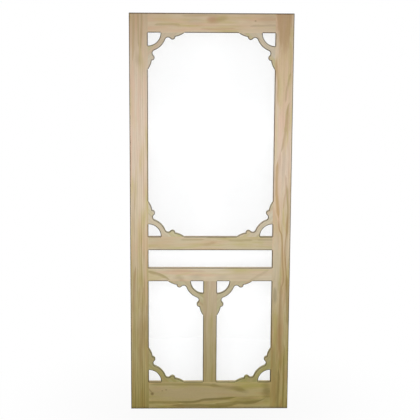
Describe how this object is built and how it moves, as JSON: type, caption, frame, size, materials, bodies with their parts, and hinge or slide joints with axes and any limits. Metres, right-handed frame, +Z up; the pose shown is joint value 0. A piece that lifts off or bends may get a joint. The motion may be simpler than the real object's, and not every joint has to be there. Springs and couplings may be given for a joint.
{
  "type": "wooden screen door",
  "caption": "Unfinished pine screen door leaf with mortised stiles and rails, a lower mullion, fretwork corner brackets and wire screens held in rabbets by mitred stops",
  "frame": {"origin": "on the hinge edge (the outer edge of the left stile), halfway through the door's thickness, at the foot of the door", "axes": "+X across the door from the hinge edge to the latch edge, +Y from the front face to the back face, +Z up; the front faces -Y"},
  "size_m": [0.813, 0.0286, 2.032],
  "materials": {
    "stile_pine": "bare sanded pine, grain along the height",
    "rail_pine": "bare sanded pine, grain along the width",
    "bracket_pine": "bare sawn pine with sanded faces",
    "stop_pine": "bare planed pine strip",
    "screen_wire": "bright woven aluminium wire"
  },
  "bodies": {
    "root": {"left_stile": "stile_pine", "right_stile": "stile_pine", "top_rail": "rail_pine", "upper_lock_rail": "rail_pine", "lower_lock_rail": "rail_pine", "bottom_rail": "rail_pine", "mullion": "stile_pine", "upper_top_left_bracket": "bracket_pine", "upper_top_right_bracket": "bracket_pine", "upper_bottom_left_bracket": "bracket_pine", "upper_bottom_right_bracket": "bracket_pine", "mullion_left_bracket": "bracket_pine", "mullion_right_bracket": "bracket_pine", "lower_left_bracket": "bracket_pine", "lower_right_bracket": "bracket_pine", "upper_screen": "screen_wire", "upper_screen_left_stop": "stop_pine", "upper_screen_right_stop": "stop_pine", "upper_screen_bottom_stop": "stop_pine", "upper_screen_top_stop": "stop_pine", "slot_screen": "screen_wire", "slot_screen_left_stop": "stop_pine", "slot_screen_right_stop": "stop_pine", "slot_screen_bottom_stop": "stop_pine", "slot_screen_top_stop": "stop_pine", "lower_left_screen": "screen_wire", "lower_left_screen_left_stop": "stop_pine", "lower_left_screen_right_stop": "stop_pine", "lower_left_screen_bottom_stop": "stop_pine", "lower_left_screen_top_stop": "stop_pine", "lower_right_screen": "screen_wire", "lower_right_screen_left_stop": "stop_pine", "lower_right_screen_right_stop": "stop_pine", "lower_right_screen_bottom_stop": "stop_pine", "lower_right_screen_top_stop": "stop_pine"}
  },
  "joints": []
}
